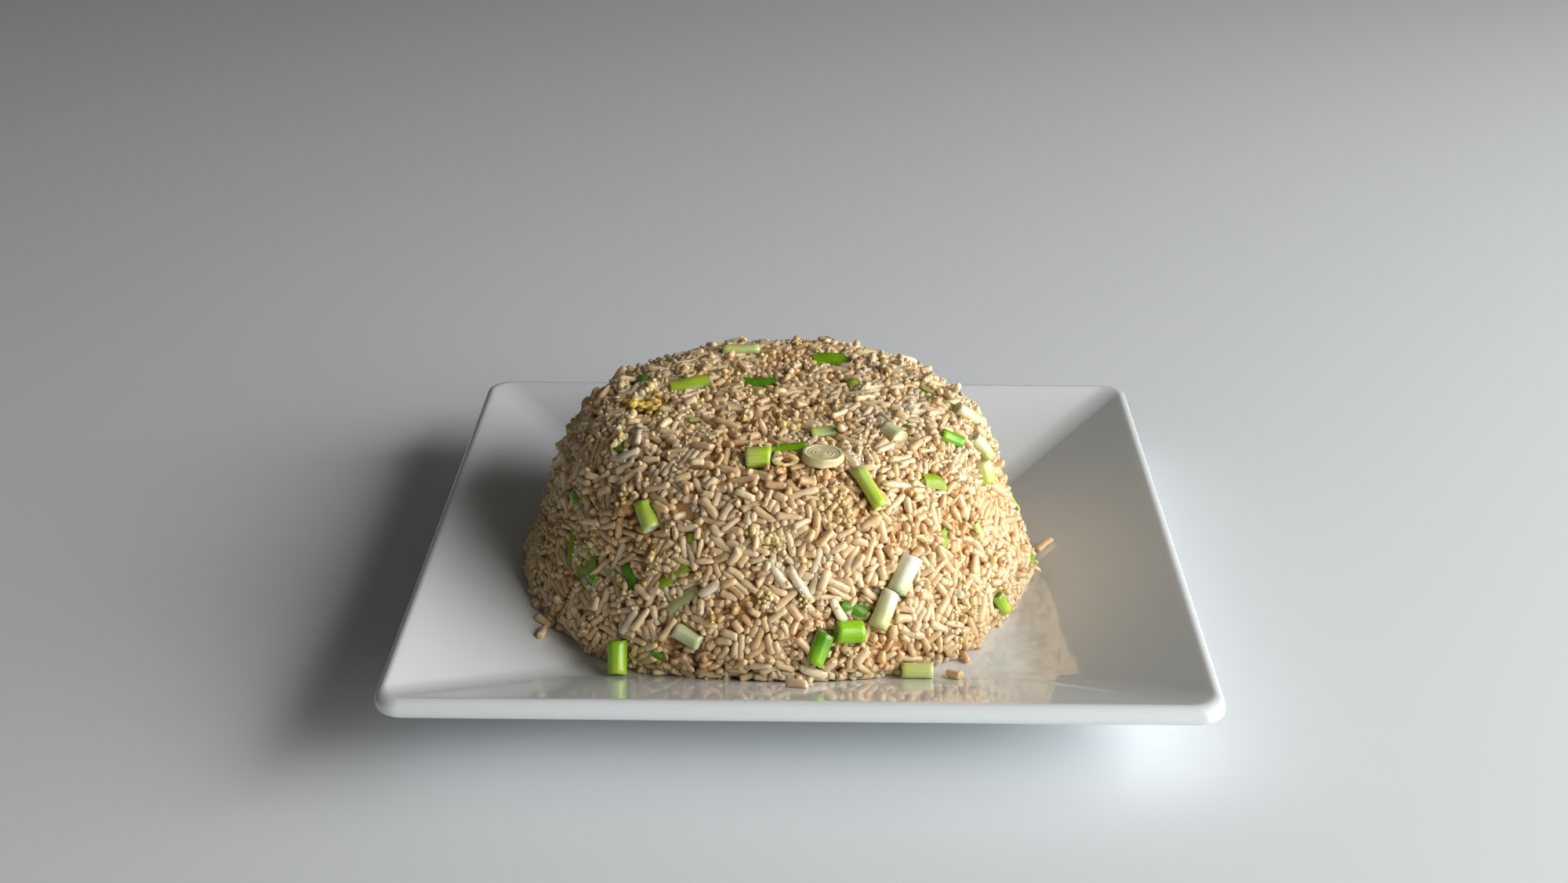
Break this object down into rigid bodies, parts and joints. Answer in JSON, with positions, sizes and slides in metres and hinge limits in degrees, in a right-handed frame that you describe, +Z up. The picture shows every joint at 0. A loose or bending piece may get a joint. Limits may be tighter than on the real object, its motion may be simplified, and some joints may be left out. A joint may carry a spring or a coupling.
{
  "type": "fried rice plate",
  "caption": "Dome of fried rice with cut green onion and egg, turned out of a bowl onto a square white porcelain plate with wide sloping rims.",
  "frame": {"origin": "on the table under the middle of the plate", "axes": "+Z up, +X to the diner's right, -Y towards the diner; the plate's sides lie along X and Y"},
  "size_m": [0.254, 0.254, 0.0785],
  "materials": {
    "porcelain": "glossy white glaze",
    "rice": "oiled cooked grains, tan with soy sauce",
    "onion_green": "moist cut leaf, fresh green",
    "onion_dark": "moist leaf, dark green",
    "onion_pale": "moist stem, pale yellow-green",
    "onion_white": "moist stem, white",
    "egg": "scrambled egg, soft yellow",
    "crust": "browned lump of rice"
  },
  "bodies": {
    "root": {"plate": "porcelain", "rice_heap": "rice", "onion_tube_shoulder": "onion_green", "onion_ring_slice": "onion_white", "onion_cut_pale": "onion_pale", "onion_strip_top": "onion_green", "egg_curl": "egg", "onion_stem_round": "onion_pale", "onion_arc_back": "onion_green", "onion_pale_side": "onion_pale", "onion_tube_side": "onion_pale", "onion_cut_side": "onion_green", "onion_bit_front": "onion_green", "onion_stem_white": "onion_white", "onion_stem_pale": "onion_pale", "onion_tube_green": "onion_green", "onion_curl_green": "onion_green", "onion_stem_low": "onion_pale", "onion_split_left": "onion_green", "onion_split_right": "onion_pale", "onion_stem_olive": "onion_pale", "onion_strip_left": "onion_green", "onion_cut_left": "onion_green", "onion_leaf_left": "onion_dark", "onion_leaf_teal": "onion_dark", "onion_leaf_under": "onion_dark", "onion_stem_buried": "onion_pale", "onion_pale_edge": "onion_pale", "onion_leaf_rear": "onion_dark", "onion_leaf_crown": "onion_green", "onion_leaf_dark": "onion_dark", "onion_leaf_back": "onion_green", "onion_tube_back": "onion_pale", "onion_cut_right": "onion_green", "egg_crown": "egg", "rice_crust": "crust", "onion_tube_loose": "onion_green", "onion_tube_leaning": "onion_green"}
  },
  "joints": []
}
